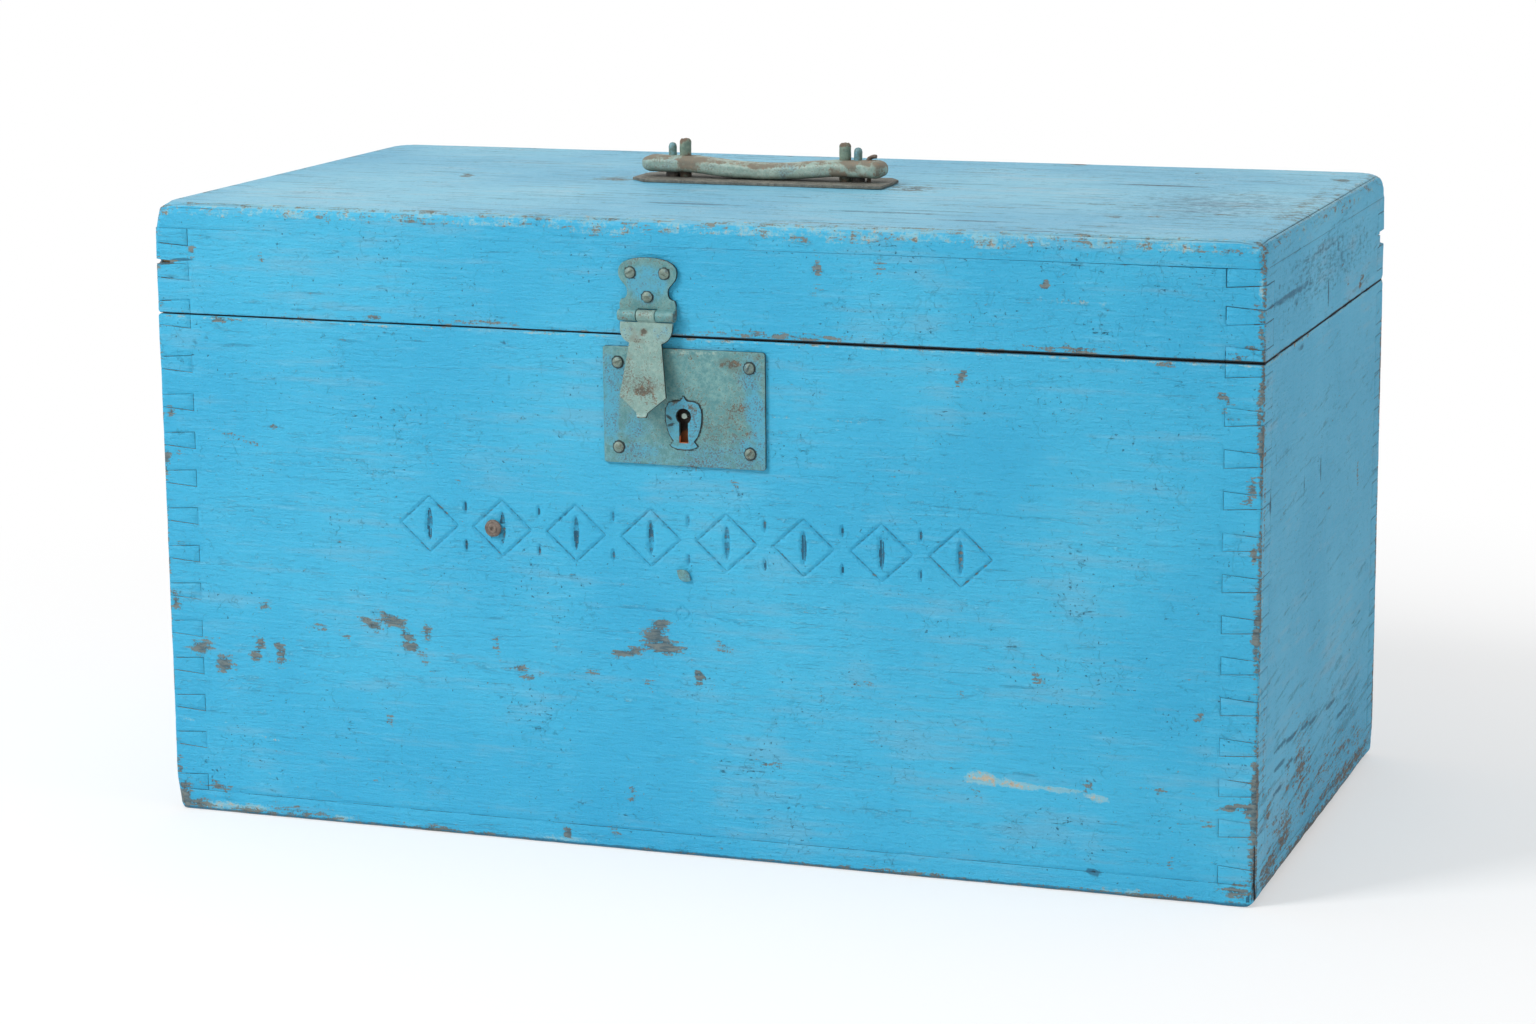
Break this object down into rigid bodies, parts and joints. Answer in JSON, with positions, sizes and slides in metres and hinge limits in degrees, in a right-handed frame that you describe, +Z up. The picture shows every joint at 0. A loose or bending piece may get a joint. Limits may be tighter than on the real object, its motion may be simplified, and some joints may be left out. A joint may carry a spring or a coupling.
{
  "type": "tool chest",
  "caption": "Dovetailed wooden carpenter's tool chest with a hinged sawn-off lid, painted blue, with hasp, staple, chest lock and an iron handle bar on the lid",
  "frame": {"origin": "middle of the underside of the bottom board", "axes": "+X along the front to the viewer's right, -Y out of the front, +Z up"},
  "size_m": [0.62, 0.3414, 0.3686],
  "materials": {
    "blue_painted_pine": "worn blue oil paint on pine, bare brown wood where it is rubbed or chipped",
    "green_painted_iron": "grey-green paint over iron, rust showing through",
    "rusty_iron": "dull rust-brown iron",
    "dark_iron": "dark oiled iron inside the lock"
  },
  "bodies": {
    "chest": {"back_board": "blue_painted_pine", "bottom_board": "blue_painted_pine", "bottom_nail_1": "rusty_iron", "bottom_nail_2": "rusty_iron", "bottom_nail_3": "rusty_iron", "bottom_nail_4": "rusty_iron", "bottom_nail_5": "rusty_iron", "bottom_nail_6": "rusty_iron", "bottom_nail_7": "rusty_iron", "bottom_nail_8": "rusty_iron", "flattened_nail": "rusty_iron", "front_board": "blue_painted_pine", "front_nail": "rusty_iron", "hinge_left_body_leaf": "green_painted_iron", "hinge_left_body_screw_1": "rusty_iron", "hinge_left_body_screw_2": "rusty_iron", "hinge_left_pin": "green_painted_iron", "hinge_right_body_leaf": "green_painted_iron", "hinge_right_body_screw_1": "rusty_iron", "hinge_right_body_screw_2": "rusty_iron", "hinge_right_pin": "green_painted_iron", "keyhole_escutcheon": "green_painted_iron", "left_side_board": "blue_painted_pine", "lock_case": "dark_iron", "lock_key_pin": "dark_iron", "lock_plate": "green_painted_iron", "lock_screw_1": "green_painted_iron", "lock_screw_2": "green_painted_iron", "lock_screw_3": "green_painted_iron", "lock_screw_4": "green_painted_iron", "lock_spring": "dark_iron", "right_side_board": "blue_painted_pine"},
    "lid": {"bent_nail": "rusty_iron", "handle_bar": "green_painted_iron", "handle_bolt_left": "rusty_iron", "handle_bolt_right": "rusty_iron", "handle_plate": "rusty_iron", "handle_spacer_left": "dark_iron", "handle_spacer_right": "dark_iron", "handle_stud_left": "green_painted_iron", "handle_stud_right": "green_painted_iron", "hasp_leaf": "green_painted_iron", "hasp_pin": "green_painted_iron", "hasp_screw_1": "green_painted_iron", "hasp_screw_2": "green_painted_iron", "hasp_screw_3": "green_painted_iron", "hinge_left_lid_leaf": "green_painted_iron", "hinge_left_lid_screw_1": "rusty_iron", "hinge_left_lid_screw_2": "rusty_iron", "hinge_right_lid_leaf": "green_painted_iron", "hinge_right_lid_screw_1": "rusty_iron", "hinge_right_lid_screw_2": "rusty_iron", "lid_back_board": "blue_painted_pine", "lid_front_board": "blue_painted_pine", "lid_left_board": "blue_painted_pine", "lid_right_board": "blue_painted_pine", "lid_top_board": "blue_painted_pine"},
    "hasp": {"hasp_flap": "green_painted_iron", "hasp_staple": "green_painted_iron"},
    "bolt": {"lock_bolt": "dark_iron"}
  },
  "joints": [
    {"name": "lid_open", "type": "hinge", "parent": "chest", "child": "lid", "pos_m": [0, 0.1642, 0.28325], "axis": [-1, 0, 0], "range_deg": [0, 180]},
    {"name": "hasp_swing", "type": "hinge", "parent": "lid", "child": "hasp", "pos_m": [-0.019, -0.1634, 0.2942], "axis": [-1, 0, 0], "range_deg": [-10, 160]},
    {"name": "bolt_throw", "type": "slide", "parent": "chest", "child": "bolt", "axis": [-1, 0, 0], "range_m": [0, 0.008]}
  ]
}
